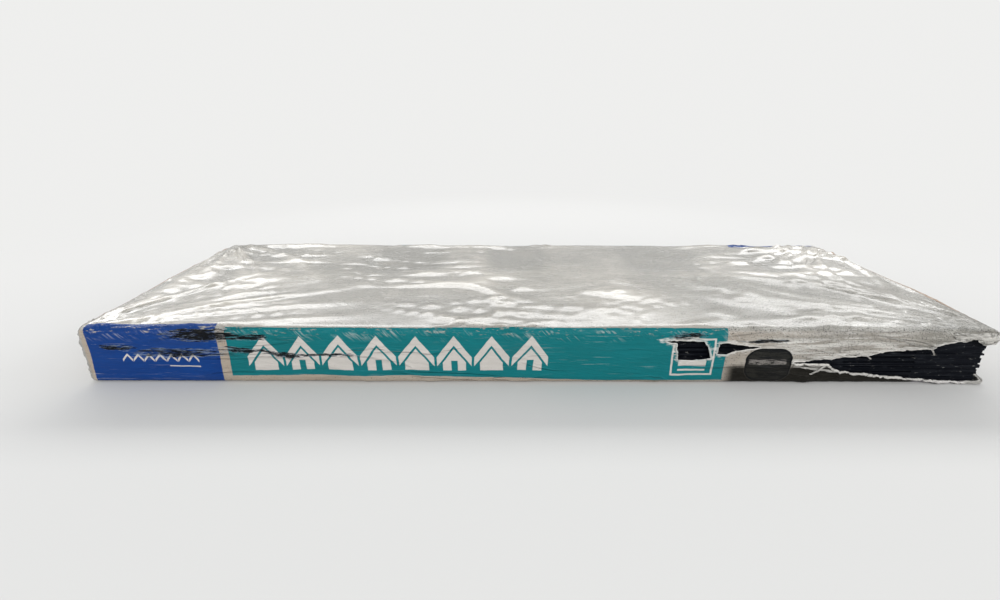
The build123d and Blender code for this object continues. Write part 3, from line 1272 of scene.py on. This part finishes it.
# %% Small creases and gloss
fine = fan_line * 1.6 + run_line * 1.1 + cross_line * 1.3 + edge_line * 0.6
fine = fine + sharp(grain(place, (34, 5, 4), turn=(0, 0.1, 0), detail=2, shift=25), 0.1) * 0.22
hatch = sharp(grain(place, (8, 30, 24), turn=(0, math.radians(-40), 0), detail=3, shift=27), 0.1)
fine = fine + hatch * 0.5 * smooth(z, high_mm - 18, high_mm - 3) * (1 - on_top)
pair_height = 5.85
plies = abs(z % pair_height - 2.9)
fine = fine + smooth(plies, 2.9, 0.4) * 0.12 * smooth(to_side, 5, 0)
cell_size = (9 * mm, 11 * mm, 7 * mm)
bent = Wire.node("Mapping", {"Vector": place, "Scale": cell_size}, {"vector_type": "TEXTURE"})
wobble = Wire.node("TexNoise", {"Vector": bent, "Scale": 1.3, "Detail": 2.0}, out="Color")
bent = Wire.node("VectorMath", {"Vector": bent, "Vector_001": wobble}, {"operation": "ADD"})


def soft_cells(place, scale, smoothness):
    """How far a point is from the middle of its rounded cell."""
    values = {"Vector": place, "Scale": scale, "Smoothness": smoothness}
    return Wire.node("TexVoronoi", values, {"feature": "SMOOTH_F1"}, "Distance")


heat = soft_cells(bent, 1.0, 0.45) * 2.6 + soft_cells(bent, 2.3, 0.6) * 0.6
heat = heat * smooth(grain(place, (50, 46, 26), detail=2, shift=39), 0.50, 0.62)
pleat = sharp(grain(place, (60, 5, 17), turn=(0.6, 0, 0), detail=2, shift=57), 0.12)
free_edge = high_mm - upper_reach / mm
pleat = pleat * smooth(abs(z - free_edge), 9, 1) * smooth(clouds_at(place, 59), 0.46, 0.6)
pull = sharp(grain(place, (40, 60, 7), turn=(-0.35, 0, 0), detail=1, shift=53), 0.12)
pull = pull * smooth(grain(place, (60, 50, 20), detail=2, shift=61), 0.52, 0.64)
fine = fine + (heat * 0.8 + pull * 0.9 + pleat * 0.8) * on_end
fine = fine + (fold_crest_highlight - fold_trough_shade * 0.6) * 1.2 + shine_line * 0.25
fine = fine + dots * (0.06 + 0.3 * right + 0.2 * (1 - stand_off) * on_top) + core * 0.15
waves = grain(place, (150, 19, 30), turn=(0, 0, 0.12), detail=3, roughness=0.6, distortion=0.4, shift=67)
waves = waves + 0.35 * grain(place, (34, 9, 20), turn=(0, 0, -0.3), detail=2, shift=69)
fine = fine + waves * (0.3 + 0.9 * on_top)
gloss = 0.10 + 0.14 * mottle + 0.35 * core + 0.2 * pulled + 0.2 * grime + 0.1 * clouds + 0.12 * right
clear = (1 - printed * (1 - pale)) * (1 - 0.8 * core.most(see_through).most(patch)) * (1 - 0.4 * right)
sheen = {"IOR": 1.14, "Coat Weight": clear * 0.7, "Coat Roughness": 0.17, "Coat IOR": 1.45}
end_material(colour, gloss, fine, sheen)
film.data.materials.append(film_look)
print("printed film", len(film_look.node_tree.nodes), "nodes")

# %% [markdown]
# A shingle's cut edge shows black asphalt round a glass mat, and its faces carry mineral granules.
# The torn film shows only edges, so the finish is a fine, faintly layered black with dusty specks.
# Granules could be scattered as small meshes, but at the size of a pixel a speck in the colour and a
# bump read the same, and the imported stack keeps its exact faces.

# %% Asphalt of the shingles
edge_black = (0.002, 0.003, 0.005)
edge_grey = (0.009, 0.010, 0.014)
seam_grey = (0.085, 0.092, 0.104)
dust_pale = (0.16, 0.15, 0.13)
granule_pale = (0.30, 0.30, 0.28)
layer_height = 1.46
asphalt_look = start_material("asphalt_shingle")
place, x, y, z = object_place()
fibres = grain(place, (26, 26, 0.6), detail=5, roughness=0.65)
wander = grain(place, (60, 60, 12), detail=3, shift=8)
seams = abs((z + 2.4 * wander) % layer_height - layer_height / 2)
lumps = grain(place, (2.2, 2.2, 1.2), detail=4, roughness=0.65, shift=2)
chips = grain(place, (9, 9, 4), detail=5, roughness=0.7, shift=6)
dust = smooth(grain(place, (2.6, 2.6, 1.6), detail=4, roughness=0.7, shift=4), 0.67, 0.75)
patchy = smooth(grain(place, (40, 40, 5), detail=4, roughness=0.6, shift=10), 0.46, 0.62)
flecks = smooth(grain(place, (7, 7, 2.2), detail=5, roughness=0.72, shift=12), 0.62, 0.67)
colour = mix(fibres, edge_black, edge_grey)
colour = mix(smooth(seams, 0.16, 0.0) * patchy * 0.7, colour, seam_grey)
colour = mix(dust * 0.4, colour, dust_pale)
colour = mix(flecks * 0.6, colour, granule_pale)
height_of = fibres * 0.5 + lumps * 0.6 + chips * 1.2 + smooth(seams, 0.0, 0.35) * 0.4
end_material(colour, 0.5 + 0.35 * lumps, height_of, {"IOR": 1.12})
for slot in stack.material_slots:
    slot.material = asphalt_look
print("asphalt", len(asphalt_look.node_tree.nodes), "nodes on", len(stack.material_slots), "slots")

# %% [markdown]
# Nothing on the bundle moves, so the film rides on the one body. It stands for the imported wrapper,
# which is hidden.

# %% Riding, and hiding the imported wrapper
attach(film, "root")
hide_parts("wrapper")

# %% [markdown]
# The bundle is shown on a plain pale floor. A floor that ends would show a horizon, so far from the
# bundle it fades into a glow of the backdrop's colour. Only the rays by which the floor is seen get
# that glow, so it doesn't light the bundle from below.

# %% The stage
floor_pale = (0.60, 0.595, 0.58)
backdrop_pale = (0.86, 0.86, 0.85, 1)
fade_start, fade_end = 450, 1150
bpy.ops.mesh.primitive_plane_add(size=40)
floor = bpy.context.object
floor.name = "floor"


def seen_rays():
    """1 for the rays by which the background is seen, directly, mirrored or through something clear."""
    names = ("Is Camera Ray", "Is Glossy Ray", "Is Transmission Ray")
    first, second, third = (Wire.node("LightPath", out=name) for name in names)
    return first.most(second).most(third)


floor_look = start_material("floor")
ground = Wire.node("BsdfDiffuse", {"Color": (*floor_pale, 1)})
far = Wire.node("Emission", {"Color": backdrop_pale, "Strength": 1.0})
place, x, y, z = object_place()
away = (x * x + y * y).sum("SQRT")
fade = smooth(away, fade_start, fade_end) * seen_rays()
blend = Wire.node("MixShader", {"Fac": fade, "Shader": ground, "Shader_001": far})
show(blend)
floor.data.materials.append(floor_look)
print("floor", floor_pale, "fading into the backdrop from", fade_start, "to", fade_end, "mm")

# %% [markdown]
# The camera stands close to the bundle and a little above it, with a wide lens. Its height, tilt and
# lens were found by matching the converging edges of the real bundle, so a render can be laid over
# the real view.

# %% The camera
camera_place = (-0.04, -0.66, 0.291)
camera_pitch = 21.4
camera_roll = 0.1
wide_lens = 18
bpy.ops.object.camera_add(location=camera_place)
camera = bpy.context.object
camera.rotation_euler = (math.radians(90 - camera_pitch), 0, 0)
camera.rotation_euler.rotate_axis("Z", math.radians(camera_roll))
camera.data.lens = wide_lens
camera.data.clip_start = 0.01
bpy.context.scene.camera = camera
print("camera at", camera_place, "tilted down by", camera_pitch, "degrees, lens", wide_lens, "mm")

# %% [markdown]
# Two wide lamps over the long sides give soft light and long reflections in the film, and a small one
# at each end lights the folded ends. A plain pale world fills in the rest.

# %% Lamps and world


def softbox(name, place, tall, wide, power):
    """An area lamp that faces the middle of the floor, so many times as wide as it is tall."""
    bpy.ops.object.light_add(type="AREA", location=place)
    lamp = bpy.context.object
    lamp.name = name
    lamp.data.shape = "RECTANGLE"
    lamp.data.size = tall * wide
    lamp.data.size_y = tall
    lamp.data.energy = power
    lamp.visible_camera = False
    lamp.rotation_euler = (-Vector(place)).to_track_quat("-Z", "Y").to_euler()


softbox("key", (-0.1, 1.8, 1.3), 0.6, 8.0, 60)
softbox("fill", (0.1, -2.2, 1.35), 0.7, 6.5, 62)
softbox("right", (1.9, 0.3, 1.15), 0.6, 4.0, 14)
softbox("left", (-1.9, 0.3, 1.15), 0.6, 4.0, 12)
sky_dim = (0.34, 0.355, 0.375, 1)
world = bpy.data.worlds.new("studio")
bpy.context.scene.world = world
world.use_nodes = True
Wire.tree = world.node_tree
Wire.tree.nodes.clear()
dim = Wire.node("Background", {"Color": sky_dim, "Strength": 1.0})
bright = Wire.node("Background", {"Color": backdrop_pale, "Strength": 1.0})
sky = Wire.node("MixShader", {"Fac": seen_rays(), "Shader": dim, "Shader_001": bright})
show(sky, "World")
bpy.context.scene.view_settings.view_transform = "Standard"
